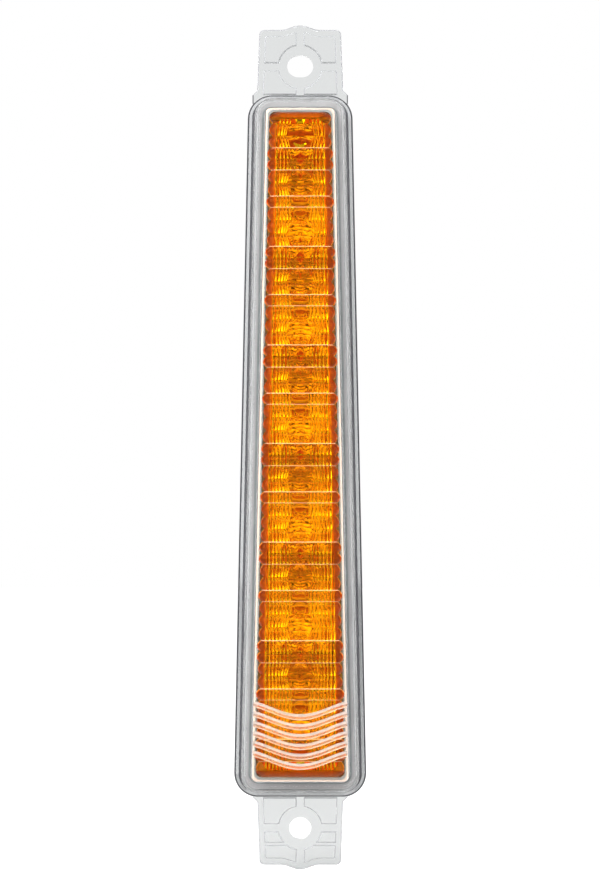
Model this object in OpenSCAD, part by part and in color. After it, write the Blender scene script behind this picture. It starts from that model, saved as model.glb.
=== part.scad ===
// Surface-mounted vehicle indicator lamp.
// A clear moulded cover with a fixing ear at each end stands over a fluted amber lens,
// a strip of bright reflector cups, a circuit board with six diodes and a housing.
// X is the width, Z runs up the lamp, and the mounting face is the plane Y = 0.
// The lamp looks towards -Y, and a depth below is the distance in front of the mounting face.

/* [Fixing] */
// Distance of each fixing hole outside the rim's end, on average
hole_out = 7.5; // [7:0.1:12]
// Diameter of the fixing holes
hole_d = 5.5; // [4.3:0.1:6.5]
// Extra width of the upper hole, which is a slot
slot_extra = 1; // [0.5:0.1:1.5]
// Diameter of the boss round each hole
boss_d = 10.6; // [9.6:0.2:11.6]

/* [Rim] */
// Length of the rim
rim_length = 175; // [172:1:178]
// Height of the rim's middle above the middle of the holes
rim_shift = 0.3; // [0:0.1:0.6]
// Width of the rim across its upper end
rim_top_w = 25.9; // [24.5:0.1:28]
// Width of the rim across its lower end
rim_bottom_w = 33.2; // [31:0.1:36]
// Corner radius of the rim
rim_r = 6; // [5:0.5:7]
// Depth of the rim's flange
flange_h = 4.5; // [4.2:0.1:5.5]
// How far the window stands in from the rim's edge
window_inset = 1.6; // [1.4:0.1:1.8]
// Inset at the upper end, as a share of the inset at the sides
top_share = 0.86; // [0.8:0.01:1]

/* [Cover] */
// Depth of the cover's front face
cover_h = 19; // [18.8:0.1:22]
// Thickness of the cover's front
front_t = 2; // [1.5:0.1:2.2]
// Thickness of the cover's side walls
wall_t = 2.5; // [2:0.1:2.5]
// Radius of the edge round the front face
edge_r = 1.3; // [1:0.1:1.8]
// How far each side wall leans in over its height
draft = 0.25; // [0:0.05:0.3]
// Number of wave-shaped ribs behind the lower end of the front
wave_n = 6; // [3:1:6]
// Height of the topmost wave rib above the rim's lower edge
wave_at = 23.8; // [22:0.1:26]
// Distance from one wave rib to the next
wave_pitch = 2.45; // [2.2:0.05:2.6]
// Width of a wave rib
wave_w = 1.5; // [1:0.1:1.8]
// Height of a wave rib
wave_h = 0.7; // [0.4:0.1:0.9]
// How far a wave rib dips in the middle
wave_dip = 3.3; // [2:0.1:4]

/* [Ears] */
// Depth of an ear
ear_h = 4; // [3.6:0.1:4.2]
// Thickness of an ear's front skin
ear_skin = 1.6; // [1.2:0.1:2]
// Thickness of the wall round an ear
ear_wall = 1.4; // [1:0.1:1.6]
// Width of an ear where it meets the rim
ear_root_w = 21.4; // [20.6:0.2:22]
// Width of an ear at its free end
ear_end_w = 20.4; // [19.6:0.2:21.4]
// Distance from the hole to the ear's free end
ear_reach = 9.1; // [8.6:0.1:11]
// How far the rounded nose stands out of the free end
nose_h = 1.15; // [0.5:0.05:2]
// Width of the rounded nose
nose_w = 9.8; // [8:0.2:12]
// Corner radius of the free end
ear_r = 1.2; // [0.8:0.1:2]
// Width of the ribs that tie the boss to the wall
rib_w = 1.75; // [1:0.05:2.4]

/* [Amber lens] */
// Distance of the uppermost border between two cells from the rim's upper edge
first_border = 16.4; // [16:0.1:18]
// Distance of the lowest border from the rim's lower edge
last_border = 12.2; // [11:0.1:14]
// Height of a raised band
band_h = 2.75; // [2.4:0.05:3]
// How far a raised band stands out of the plain flutes
band_rise = 0.4; // [0.2:0.05:0.5]
// Depth of the valleys between the flutes
flute_sag = 0.5; // [0.2:0.02:0.6]
// Inset of the plain flutes' crests from the rim's edge
amber_inset = 5.45; // [5.4:0.05:5.8]
// Depth of the plain flutes' crests
amber_front = 15; // [14.8:0.1:15.4]
// Thickness of the lens behind the crests
amber_t = 2; // [1.8:0.1:2.2]
// Radius of the edge round the raised bands
amber_r = 2.4; // [1.4:0.1:2.4]
// Thickness of the lens's skirt
skirt_t = 1.8; // [1.4:0.1:2]
// Pitch of the fine upright flutes behind the lens
fine_pitch = 0.9; // [0.8:0.1:1.2]
// Height of the fine upright flutes
fine_sag = 0.22; // [0.1:0.02:0.3]

/* [Reflector and diodes] */
// Height of the reflector strip
reflector_h = 5.9; // [5.4:0.1:6]
// Thickness of the reflector under its cups
cup_floor = 0.8; // [0.6:0.1:1]
// Radius at which a cup would reach the strip's full height
cup_r = 13.5; // [12.6:0.1:14.5]
// Width of the slot over a diode
window_w = 4.3; // [4:0.1:4.8]
// Length of the slot over a diode
window_l = 15.6; // [12:0.1:16]
// Width of a diode
led_w = 2.8; // [2.6:0.1:3]
// Length of a diode
led_l = 3.5; // [3:0.1:3.6]
// Height of a diode
led_h = 1.9; // [1.2:0.1:2]
// Diameter of a diode's light opening
led_window_d = 2.2; // [1.8:0.1:2.3]

/* [Board and housing] */
// Thickness of the circuit board
board_t = 1.6; // [1.4:0.1:1.6]
// Depth of the board's rear face
board_at = 4.6; // [4.6:0.1:4.9]
// Diameter of a board screw's thread
screw_d = 2; // [1.6:0.1:2.2]
// Diameter of a board screw's head
screw_head_d = 3.8; // [3.4:0.1:4.2]
// Height of a board screw's head
screw_head_h = 1.3; // [1:0.1:1.5]
// Length of a board screw under its head
screw_l = 5; // [4.4:0.1:5.2]
// Thickness of the housing's base
base_t = 2.4; // [2.2:0.1:2.4]
// Thickness of the cover's edge round the base
round_t = 1.5; // [1.3:0.1:1.6]
// Width of the sealing bead
bead_w = 1.5; // [1:0.1:1.6]
// Depth of the sealing bead
bead_h = 0.6; // [0.4:0.1:0.8]
// Thickness of the wall round the light chamber
chamber_t = 0.8; // [0.6:0.1:0.9]
// Width of the ledge under the board's edge
ledge_w = 0.9; // [0.6:0.1:1.2]
// Diameter of the cable inlet
inlet_d = 4.8; // [4:0.1:5.4]
// Thickness of the grommet round the inlet
grommet_t = 1.6; // [1.2:0.1:2]

/* [Hidden] */

clearance = 0.15;
running = 0.05;
past = 1;
arc_steps = 6;
cells = 6;
least_r = 1.5;

rim_top = rim_shift + rim_length / 2;
rim_bottom = rim_shift - rim_length / 2;
border_1 = rim_top - first_border;
cell = (border_1 - rim_bottom - last_border) / cells;
lean = atan((rim_bottom_w - rim_top_w) / 2 / rim_length);
side_reach = cos(lean) * rim_top_w / 2 + sin(lean) * rim_top;

// Half the rim's width at a height.
function half_width(z) = (side_reach - sin(lean) * z) / cos(lean);

// Points of an arc about [x, z].
function arc(x, z, r, from, to, steps = arc_steps) = [
    for (i = [0:steps])
        let (a = from + (to - from) * i / steps)
            [x + r * cos(a), z + r * sin(a)]
];

// The rim's outline moved inwards, as points that run anticlockwise seen from the front.
function outline(inset) =
    let (
        r = max(rim_r - inset, least_r),
        zt = rim_top - inset * top_share - r,
        zb = rim_bottom + inset + r,
        xt = half_width(zt) - (inset + r) / cos(lean),
        xb = half_width(zb) - (inset + r) / cos(lean)
    )
    concat(
        arc(xb, zb, r, -90, lean),
        arc(xt, zt, r, lean, 90),
        arc(-xt, zt, r, 90, 180 - lean),
        arc(-xb, zb, r, 180 - lean, 270)
    );

// Extrudes a drawing in the XZ plane from one depth to another.
module solid(from, to) {
    rotate([90, 0, 0])
        translate([0, 0, from])
            linear_extrude(to - from) children();
}

module plate(inset, from, to) {
    solid(from, to) polygon(outline(inset));
}

module ring(outer, inner, from, to) {
    difference() {
        plate(outer, from, to);
        plate(inner, from - past, to + past);
    }
}

module pin(x, z, d, from, to) {
    translate([x, -from, z])
        rotate([90, 0, 0])
            cylinder(d = d, h = to - from, $fn = 64);
}

module block(x, z, w, l, from, to) {
    translate([x - w / 2, -to, z - l / 2]) cube([w, to - from, l]);
}

// A closed skin over rings of n points each, with a flat cap at both ends.
module skin(points, n) {
    last = len(points) - n;
    sides = [
        for (k = [0:n:last - 1])
            for (i = [0:n - 1])
                let (j = (i + 1) % n)
                    [k + i, k + n + i, k + n + j, k + j]
    ];
    start = [for (i = [0:n - 1]) i];
    end = [for (i = [n - 1:-1:0]) last + i];
    polyhedron(points, concat([start], sides, [end]), convexity = 4);
}

// A skin through a list of [inset, depth] pairs, each one a ring of the outline.
module loft(profile) {
    skin(
        [for (p = profile) for (q = outline(p[0])) [q[0], -p[1], q[1]]],
        4 * (arc_steps + 1)
    );
}

// A quarter-round from a wall at one inset to a face at one depth.
function round_edge(inset, depth, r, steps) = [
    for (i = [0:steps])
        let (a = 90 * i / steps)
            [inset + r * (1 - cos(a)), depth - r * (1 - sin(a))]
];

flange_edge = 0.4;
root_r = 0.3;
inner_edge_r = 0.6;
cover_inside = cover_h - front_t;

module cover_outside() {
    loft(concat(
        [[0, 0]],
        round_edge(0, flange_h, flange_edge, 3),
        [[window_inset - root_r, flange_h], [window_inset, flange_h + root_r]],
        round_edge(window_inset + draft, cover_h, edge_r, 5)
    ));
}

module cover_space() {
    plate(round_t, -past, base_t);
    loft(concat(
        [[window_inset + wall_t - draft, base_t - running]],
        round_edge(window_inset + wall_t + draft, cover_inside, inner_edge_r, 3)
    ));
}

wave_steps = 20;
wave_turn = 143;
wave_sunk = 0.3;
upper_share = 0.47;
lower_share = 0.17;
wave_top = rim_bottom + wave_at;
wave_half = half_width(wave_top) - window_inset - wall_t - draft - clearance;

// The line of a wave rib: a cosine that flattens towards both ends.
function wave_z(x) =
    wave_dip * ((1 - cos(wave_turn * x / wave_half)) / (1 - cos(wave_turn)) - 1);

// One wave rib along the wave, with a long slope above and a short one below,
// sunk a little into the front.
module wave_rib(z) {
    section = [
        [-wave_w / 2, wave_sunk],
        [-wave_w / 2, 0],
        [(lower_share - 0.5) * wave_w, -wave_h],
        [(0.5 - upper_share) * wave_w, -wave_h],
        [wave_w / 2, 0],
        [wave_w / 2, wave_sunk],
    ];
    skin(
        [
            for (k = [0:wave_steps])
                let (x = wave_half * (2 * k / wave_steps - 1))
                    for (s = section) [x, -cover_inside - s[1], z + wave_z(x) + s[0]]
        ],
        len(section)
    );
}

ear_z = rim_length / 2 + hole_out;
ear_overlap = 2;
ear_flare = 1.2;
ear_pocket = ear_h - ear_skin;
mark_d = 4.4;
mark_deep = 0.2;
mark_x = 7;
mark_z = -4.4;
step_z = 4;
step_w = 0.5;

// Outline of an ear, moved inwards by a wall. The hole is at the origin, the free end is up.
function ear_points(wall, root, flare) =
    let (
        w0 = ear_root_w / 2 - wall,
        w1 = ear_end_w / 2 - wall,
        top = ear_reach - wall,
        r = max(ear_r - wall / 2, 0.4),
        half = nose_w / 2
    )
    concat(
        [[w0 + flare, root], [w0 + flare, root + ear_overlap], [w0, root + ear_overlap + flare]],
        arc(w1 - r, top - r, r, 0, 90, 4),
        [
            for (i = [0:12])
                let (x = half * (1 - i / 6))
                    [x, top + nose_h * (1 + cos(180 * x / half)) / 2]
        ],
        arc(r - w1, top - r, r, 90, 180, 4),
        [[-w0, root + ear_overlap + flare], [-w0 - flare, root + ear_overlap], [-w0 - flare, root]]
    );

// The hollow behind an ear's skin, round its boss and ribs.
module ear_hollow(root, marked) {
    difference() {
        solid(-past, ear_pocket)
            polygon(ear_points(ear_wall, root + clearance, 0));
        pin(0, 0, boss_d, -2 * past, ear_h);
        block(0, 0, rib_w, 4 * ear_reach, -2 * past, ear_h);
        block(0, 0, 2 * ear_root_w, rib_w, -2 * past, ear_h);
        if (marked) block(0, step_z, 2 * ear_root_w, step_w, -2 * past, ear_h);
    }
    if (marked)
        for (side = [-1, 1])
            pin(side * mark_x, mark_z, mark_d, ear_pocket - past, ear_pocket + mark_deep);
}

module ear_hole(slot) {
    for (side = slot ? [-1, 1] : [0])
        pin(side * slot_extra / 2, 0, hole_d, -past, ear_h + past);
    if (slot) block(0, 0, slot_extra, hole_d, -past, ear_h + past);
}

module ear(root, slot) {
    difference() {
        solid(0, ear_h) polygon(ear_points(0, root - ear_overlap, ear_flare));
        ear_hollow(root, !slot);
        ear_hole(slot);
    }
}

module cover_lens() {
    color([0.9, 0.93, 0.94, 0.35]) {
        difference() {
            union() {
                cover_outside();
                translate([0, 0, ear_z]) ear(rim_top - ear_z, true);
                rotate([0, 180, 0])
                    translate([0, 0, ear_z]) ear(-rim_bottom - ear_z, false);
            }
            cover_space();
        }
        for (k = [0:wave_n - 1]) wave_rib(wave_top - k * wave_pitch);
    }
}

row_steps = 4;
plain_h = (cell - 3 * band_h) / 5;
lens_top = rim_top - amber_inset * top_share;
lens_bottom = rim_bottom + amber_inset;
head_h = (lens_top - border_1 - band_h) / 3;
tail_h = border_1 - cells * cell - lens_bottom - band_h;

// Rows of flutes from the top down: the height of each, and how far it is raised.
cell_rows = [
    [band_h, band_rise], [plain_h, 0], [plain_h, 0], [band_h, band_rise],
    [plain_h, 0], [plain_h, 0], [plain_h, 0], [band_h, band_rise],
];
rows = concat(
    [[head_h, 0], [head_h, 0], [head_h, 0], [band_h, band_rise]],
    [for (k = [1:cells]) each cell_rows],
    [[band_h, band_rise], [tail_h, 0]]
);

// Upper edge of each row, counted down from the top of the lens.
row_tops = [
    for (k = 0, z = lens_top; k < len(rows); z = z - rows[k][0], k = k + 1) z
];

// Points down the lens, as [height, drop behind the plain crests]. Rows that join
// at the same level share a point.
row_line = [
    for (k = [0:len(rows) - 1])
        let (joined = k < len(rows) - 1 && rows[k + 1][1] == rows[k][1])
            for (i = [0:joined ? row_steps - 1 : row_steps])
                let (t = i / row_steps)
                    [
                        row_tops[k] - rows[k][0] * t,
                        flute_sag * pow(2 * t - 1, 2) - rows[k][1]
                    ]
];

board_front = board_at + board_t;
chamber_inset = amber_inset - running - chamber_t;
amber_roof = amber_front - amber_t;
chamber_top = amber_roof - 4 * clearance;
amber_shoulder = chamber_top + clearance;

module lens_plan() {
    right = [for (p = row_line) [half_width(p[0]) - amber_inset - p[1], p[0]]];
    left = [for (i = [len(right) - 1:-1:0]) [-right[i][0], right[i][1]]];
    polygon(concat(right, left));
}

module lens_profile() {
    polygon(concat(
        [for (p = row_line) [p[1] - amber_front, p[0]]],
        [[-amber_shoulder, lens_bottom], [-amber_shoulder, lens_top]]
    ));
}

// The fluted front: the flutes' profile all across, within the flutes' scalloped plan,
// with a round edge.
module lens_head() {
    intersection() {
        solid(amber_shoulder, amber_front + past) lens_plan();
        translate([-rim_bottom_w / 2, 0, 0])
            rotate([90, 0, 90])
                linear_extrude(rim_bottom_w) lens_profile();
        loft(concat(
            [[amber_inset - band_rise, board_front]],
            round_edge(amber_inset - band_rise, amber_front + band_rise, amber_r, 4)
        ));
    }
}

fine_n = 2 * ceil(rim_bottom_w / 2 / fine_pitch) + 1;
fine_steps = 2;

// The space behind the lens, with a row of fine upright flutes as its roof.
module lens_space() {
    half = fine_n * fine_pitch / 2;
    intersection() {
        plate(amber_inset + running + skirt_t, board_front - past, amber_roof + past);
        translate([0, 0, rim_bottom])
            linear_extrude(rim_length)
                polygon(concat(
                    [[half, past - board_front], [-half, past - board_front]],
                    [
                        for (k = [0:fine_n - 1])
                            for (i = [0:fine_steps - 1])
                                let (t = i / fine_steps)
                                    [
                                        (k + t) * fine_pitch - half,
                                        fine_sag * (1 - pow(2 * t - 1, 2)) - amber_roof
                                    ]
                    ],
                    [[half, -amber_roof]]
                ));
    }
}

module amber_lens() {
    color([1, 0.55, 0.05, 0.6])
        difference() {
            union() {
                lens_head();
                plate(amber_inset + running, board_front, amber_shoulder);
            }
            lens_space();
        }
}

function cell_z(k) = border_1 - (k - 0.5) * cell;

cup_steps = 6;
cup_inset = amber_inset + running + skirt_t + clearance;
reflector_top = board_front + reflector_h;

// The hollow of one cup, a bowl whose depth grows with the square of the radius.
// Part of a further cup shapes each end of the strip.
module cup(z) {
    rise = reflector_h - cup_floor;
    reach = cup_r * 1.08;
    translate([0, -board_front - cup_floor, z])
        rotate([90, 0, 0])
            rotate_extrude($fn = 64)
                polygon(concat(
                    [
                        for (i = [0:cup_steps])
                            let (r = reach * i / cup_steps)
                                [r, rise * pow(r / cup_r, 2)]
                    ],
                    [[reach, 2 * rise], [0, 2 * rise]]
                ));
}

module cup_window(z) {
    straight = window_l - window_w;
    block(0, z, window_w, straight, board_front - past, reflector_top);
    for (side = [-1, 1])
        pin(0, z + side * straight / 2, window_w, board_front - past, reflector_top);
}

screw_borders = [0, 2, 4, 6];
function screw_z(k) = border_1 - k * cell;

module reflector() {
    color([0.86, 0.87, 0.88])
        difference() {
            plate(cup_inset, board_front, reflector_top);
            for (k = [0:cells + 1]) cup(cell_z(k));
            for (k = [1:cells]) cup_window(cell_z(k));
            for (k = screw_borders)
                pin(0, screw_z(k), screw_head_d + 2 * clearance,
                    board_front - past, board_front + screw_head_h + clearance);
        }
}

module led(k) {
    rim = 0.15;
    color("ivory")
        difference() {
            block(0, cell_z(k), led_w, led_l, board_front, board_front + led_h);
            pin(0, cell_z(k), led_window_d, board_front + led_h - rim, board_front + led_h + past);
        }
}

module circuit_board() {
    color([0.93, 0.94, 0.92])
        difference() {
            plate(chamber_inset + chamber_t + clearance, board_at, board_front);
            for (k = screw_borders)
                pin(0, screw_z(k), screw_d + 2 * clearance, board_at - past, board_front + past);
        }
}

module board_screws() {
    slot_w = 0.5;
    slot_deep = 0.6;
    top = board_front + screw_head_h;
    color([0.75, 0.76, 0.78])
        for (k = screw_borders)
            difference() {
                union() {
                    pin(0, screw_z(k), screw_d, board_front - screw_l, board_front);
                    pin(0, screw_z(k), screw_head_d, board_front, top);
                }
                block(0, screw_z(k), 2 * screw_head_d, slot_w, top - slot_deep, top + past);
            }
}

post_d = 5;
bead_edge = 0.45;
bead_inset = window_inset + bead_edge + bead_w / 2;
inlet_z = cell_z(cells - 1);
inlet_seat_d = inlet_d + 2 * grommet_t;

module rear_housing() {
    color([0.86, 0.87, 0.87])
        difference() {
            union() {
                plate(round_t + clearance, 0, base_t);
                ring(chamber_inset, chamber_inset + chamber_t + ledge_w, base_t, board_at);
                ring(chamber_inset, chamber_inset + chamber_t, board_at, chamber_top);
                for (k = screw_borders) pin(0, screw_z(k), post_d, base_t, board_at);
            }
            ring(bead_inset - bead_w / 2, bead_inset + bead_w / 2, base_t - bead_h, base_t + past);
            pin(0, inlet_z, inlet_seat_d, -past, base_t + past);
            for (k = screw_borders)
                pin(0, screw_z(k), screw_d, board_front - screw_l, board_at + past);
        }
}

module sealing_bead() {
    color([0.2, 0.2, 0.2])
        ring(bead_inset - bead_w / 2, bead_inset + bead_w / 2, base_t - bead_h, base_t);
}

collar_w = 1.2;
collar_h = 0.8;

module cable_grommet() {
    color([0.1, 0.1, 0.1])
        difference() {
            union() {
                pin(0, inlet_z, inlet_seat_d, 0, base_t);
                pin(0, inlet_z, inlet_seat_d + 2 * collar_w, base_t, base_t + collar_h);
            }
            pin(0, inlet_z, inlet_d, -past, board_at);
        }
}

resistor_size = [1.6, 3.2, 0.6];

module resistor(k) {
    color([0.12, 0.12, 0.13]) chip(cell_z(k), resistor_size);
}

// A plain part of a given width, length and height behind the board.
module chip(z, size) {
    block(0, z, size[0], size[1], board_at - size[2], board_at);
}

// A small eight-legged chip with its legs bent down to the board.
module driver_chip() {
    z = screw_z(3);
    body_w = 3.9;
    body_l = 4.9;
    leg_w = 0.4;
    leg_pitch = 1.27;
    leg_reach = 1;
    color([0.1, 0.1, 0.11]) {
        block(0, z, body_w, body_l, board_at - 1.6, board_at - 0.1);
        for (side = [-1, 1])
            for (i = [-1.5:1:1.5])
                block(side * (body_w + leg_reach) / 2, z + i * leg_pitch,
                    leg_reach + 0.2, leg_w, board_at - 0.5, board_at);
    }
}

part_gap = 0.8;
diode_size = [2.6, 4.3, 2];
capacitor_size = [2.5, 3.2, 1.8];
socket_size = [7, 5, 2];
socket_gap = 1.8;
way_w = 1.8;
way_side = 1.6;
way_wall = 0.4;

module protection_diode() {
    color([0.11, 0.11, 0.12])
        chip(cell_z(cells) + (resistor_size[1] + diode_size[1]) / 2 + part_gap, diode_size);
}

module smoothing_capacitor() {
    color([0.72, 0.6, 0.42])
        chip(cell_z(cells) - (resistor_size[1] + capacitor_size[1]) / 2 - part_gap, capacitor_size);
}

// A low two-way socket beside the inlet, open towards it.
module cable_connector() {
    upper = inlet_z - inlet_seat_d / 2 - collar_w - socket_gap;
    color([0.92, 0.92, 0.88])
        difference() {
            chip(upper - socket_size[1] / 2, socket_size);
            for (side = [-1, 1])
                block(side * way_side, upper, way_w, 2 * (socket_size[1] - way_wall) - past,
                    board_at - socket_size[2] + way_wall, board_at - way_wall);
        }
}

cover_lens();
amber_lens();
reflector();
circuit_board();
rear_housing();
sealing_bead();
cable_grommet();
board_screws();
for (k = [1:cells]) {
    led(k);
    resistor(k);
}
driver_chip();
protection_diode();
smoothing_capacitor();
cable_connector();
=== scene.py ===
"""Dresses a slim tapered indicator lamp: clear cover, fluted amber lens, reflector and housing.

Lengths are in millimetres until a mesh is made. X is the width, Z runs up the lamp, and a depth is
the distance in front of the mounting face, so a point at depth d lies at Y = -d.
"""

import logging
import math
from dataclasses import dataclass
from enum import Enum

import bpy
import numpy as np
from numpy.typing import NDArray
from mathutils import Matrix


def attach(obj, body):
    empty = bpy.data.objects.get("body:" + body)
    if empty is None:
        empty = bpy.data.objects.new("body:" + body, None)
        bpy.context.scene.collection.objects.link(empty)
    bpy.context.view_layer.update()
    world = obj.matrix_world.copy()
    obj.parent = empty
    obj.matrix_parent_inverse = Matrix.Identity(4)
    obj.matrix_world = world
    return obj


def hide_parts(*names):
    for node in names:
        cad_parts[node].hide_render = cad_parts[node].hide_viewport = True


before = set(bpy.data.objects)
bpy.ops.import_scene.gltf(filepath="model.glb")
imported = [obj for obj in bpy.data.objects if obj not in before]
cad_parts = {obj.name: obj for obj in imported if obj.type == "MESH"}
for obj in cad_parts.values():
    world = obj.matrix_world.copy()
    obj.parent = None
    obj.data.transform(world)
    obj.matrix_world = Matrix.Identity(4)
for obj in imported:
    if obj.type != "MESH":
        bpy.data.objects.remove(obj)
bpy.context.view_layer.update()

log = logging.getLogger("indicator_lamp")

Array = NDArray[np.float64]
Mask = NDArray[np.bool_]
Colour = tuple[float, float, float, float]
Piece = bpy.types.Object
Node = bpy.types.Node
Tree = bpy.types.NodeTree

MM = 0.001
# How far a cutting solid reaches past what it cuts
PAST = 1.0
# A normal's share along the depth: at least this on a flat face, at most that on a wall
FLAT = 0.9
STEEP = 0.3


# Meshes

@dataclass
class Solid:
    """A closed mesh in millimetres.

    Attributes:
        points: one row of X, Y and Z for each point.
        faces: the point numbers of each face, anticlockwise seen from outside.
    """

    points: Array
    faces: list[list[int]]


def skin(rings: Array) -> Solid:
    """Closes a skin over a stack of rings: ring k joins ring k + 1, and both ends get a flat cap.

    Args:
        rings: array of stack, ring point and coordinate. Each ring runs anticlockwise about the
            direction in which the stack grows.

    Returns:
        The closed solid.
    """
    count, around, _ = rings.shape
    near = np.arange(around)
    far = np.roll(near, -1)
    base = (np.arange(count - 1) * around)[:, None]
    quads = np.stack([base + far, base + around + far, base + around + near, base + near], axis=-1)
    caps = [near[::-1].tolist(), (near + (count - 1) * around).tolist()]
    return Solid(rings.reshape(-1, 3), quads.reshape(-1, 4).tolist() + caps)


def stack(*layers: tuple[Array, float]) -> Solid:
    """Closes a skin through flat outlines, each laid out at its own depth.

    Args:
        layers: pairs of outline and depth, with the depth growing. An outline is rows of X and Z,
            anticlockwise seen from the front.

    Returns:
        The closed solid.
    """
    return skin(np.stack([
        np.column_stack([flat[:, 0], np.full(len(flat), -depth), flat[:, 1]])
        for flat, depth in layers
    ]))


def arc(x: float, z: float, radius: float, start: float, end: float, steps: int) -> Array:
    """Points of an arc: the centre plus the radius times cosine and sine of a stepped angle.

    Args:
        x: the centre's X.
        z: the centre's Z.
        radius: the arc's radius.
        start: first angle in degrees.
        end: last angle in degrees.
        steps: number of even steps between them.

    Returns:
        Rows of X and Z.
    """
    angle = np.radians(np.linspace(start, end, steps + 1))
    return np.column_stack([x + radius * np.cos(angle), z + radius * np.sin(angle)])


def quarter(radius: float, steps: int, depth: float | None = None) -> Array:
    """A quarter-ellipse from a wall to a face: inset r (1 - cos a) and drop d (1 - sin a).

    Args:
        radius: how far the round reaches inwards.
        steps: number of steps.
        depth: how far it drops, by default as much as it reaches inwards.

    Returns:
        Rows of inset and drop, from the wall to the face.
    """
    drop = radius if depth is None else depth
    angle = np.radians(np.linspace(0, 90, steps + 1))
    return np.column_stack([radius * (1 - np.cos(angle)), drop * (1 - np.sin(angle))])


def prism(outline: Array, start: float, end: float) -> Solid:
    """A flat outline carried straight from one depth to another."""
    return stack((outline, start), (outline, end))


def turned(x: float, z: float, profile: list[tuple[float, float]], around: int = 96) -> Solid:
    """A profile of radius and depth turned about an axis along the depth.

    Args:
        x: the axis's X.
        z: the axis's Z.
        profile: pairs of radius and depth, with the depth growing.
        around: number of points round the axis.

    Returns:
        The closed solid.
    """
    angle = np.linspace(0, 2 * np.pi, around, endpoint=False)
    unit = np.column_stack([np.cos(angle), np.sin(angle)])
    return stack(*[(np.array([x, z]) + radius * unit, depth) for radius, depth in profile])


def pin(x: float, z: float, diameter: float, start: float, end: float) -> Solid:
    """A plain round pin along the depth."""
    return turned(x, z, [(diameter / 2, start), (diameter / 2, end)])


def rectangle(x: float, z: float, width: float, length: float) -> Array:
    """The corners of a rectangle about a centre, anticlockwise seen from the front."""
    half = np.array([width, length]) / 2
    return np.array([x, z]) + np.array([[1, -1], [1, 1], [-1, 1], [-1, -1]]) * half


def place(name: str, solid: Solid) -> Piece:
    """Makes a mesh object in metres from a solid.

    Args:
        name: the object's name.
        solid: the mesh in millimetres.

    Returns:
        The new object, at the origin.
    """
    mesh = bpy.data.meshes.new(name)
    mesh.from_pydata((solid.points * MM).tolist(), [], solid.faces)
    mesh.update()
    piece = bpy.data.objects.new(name, mesh)
    bpy.context.collection.objects.link(piece)
    return piece


class Cut(Enum):
    """How one solid changes another."""

    ADD = "UNION"
    REMOVE = "DIFFERENCE"
    KEEP = "INTERSECT"


def shape(piece: Piece, how: Cut, *tools: Solid | Piece) -> Piece:
    """Adds tools to a piece, takes them away, or keeps what they share, and fixes the result.

    Args:
        piece: the object to change.
        how: what to do.
        tools: solids, or objects that are used up, one after another.

    Returns:
        The same object with its new mesh.
    """
    for tool in tools:
        other = place("tool", tool) if isinstance(tool, Solid) else tool
        step = piece.modifiers.new("step", "BOOLEAN")
        step.operation = how.value
        step.solver = "MANIFOLD"
        step.object = other
        bake(piece)
        used = other.data
        bpy.data.objects.remove(other)
        bpy.data.meshes.remove(used)
    return piece


def bake(piece: Piece) -> Piece:
    """Turns a piece's modifiers into mesh and clears them.

    Args:
        piece: the object.

    Returns:
        The same object with its new mesh.
    """
    depsgraph = bpy.context.evaluated_depsgraph_get()
    mesh = bpy.data.meshes.new_from_object(piece.evaluated_get(depsgraph))
    piece.modifiers.clear()
    old = piece.data
    piece.data = mesh
    bpy.data.meshes.remove(old)
    mesh.name = piece.name
    return piece


def smooth(piece: Piece, angle: float) -> Piece:
    """Shades a piece smoothly, with a crease wherever two faces meet at more than an angle.

    Large faces count for more, so that flat faces stay flat right up to the rounds beside them.

    Args:
        piece: the object.
        angle: the least angle of a crease, in degrees.

    Returns:
        The same object.
    """
    mesh = piece.data
    mesh.polygons.foreach_set("use_smooth", np.ones(len(mesh.polygons), dtype=bool))
    mesh.set_sharp_from_angle(angle=math.radians(angle))
    weights = piece.modifiers.new("weights", "WEIGHTED_NORMAL")
    weights.keep_sharp = True
    weights.weight = 100
    return bake(piece)


@dataclass
class Faces:
    """The centres of a piece's faces in millimetres, and their normals' shares.

    Attributes:
        x: centres across the lamp.
        depth: centres' distance in front of the mounting face.
        z: centres up the lamp.
        right: normals' share along X.
        back: normals' share towards the mounting face.
        up: normals' share along Z.
    """

    x: Array
    depth: Array
    z: Array
    right: Array
    back: Array
    up: Array

    @classmethod
    def of(cls, piece: Piece) -> "Faces":
        """Reads a piece's faces.

        Args:
            piece: the object.

        Returns:
            Its faces.
        """
        faces = piece.data.polygons
        centres = np.empty(3 * len(faces))
        normals = np.empty(3 * len(faces))
        faces.foreach_get("center", centres)
        faces.foreach_get("normal", normals)
        x, y, z = centres.reshape(-1, 3).T / MM
        return cls(x, -y, z, *normals.reshape(-1, 3).T)

    @property
    def inner_walls(self) -> Mask:
        """Tells which faces are walls that look towards the lamp's middle."""
        return (self.x * self.right + self.z * self.up < 0) & (np.abs(self.back) < STEEP)


def between(values: Array, low: float, high: float) -> Mask:
    """Tells which values lie between two limits."""
    return (values > low) & (values < high)


# Finishes

def linear(colour: str) -> Colour:
    """Turns an sRGB hex colour into linear values, by the sRGB curve.

    Args:
        colour: such as "#FFAA00".

    Returns:
        Red, green, blue and an alpha of 1.
    """
    values = np.array([int(colour[k:k + 2], 16) for k in (1, 3, 5)]) / 255
    curve = np.where(values <= 0.04045, values / 12.92, ((values + 0.055) / 1.055) ** 2.4)
    return (*curve.tolist(), 1.0)


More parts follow.
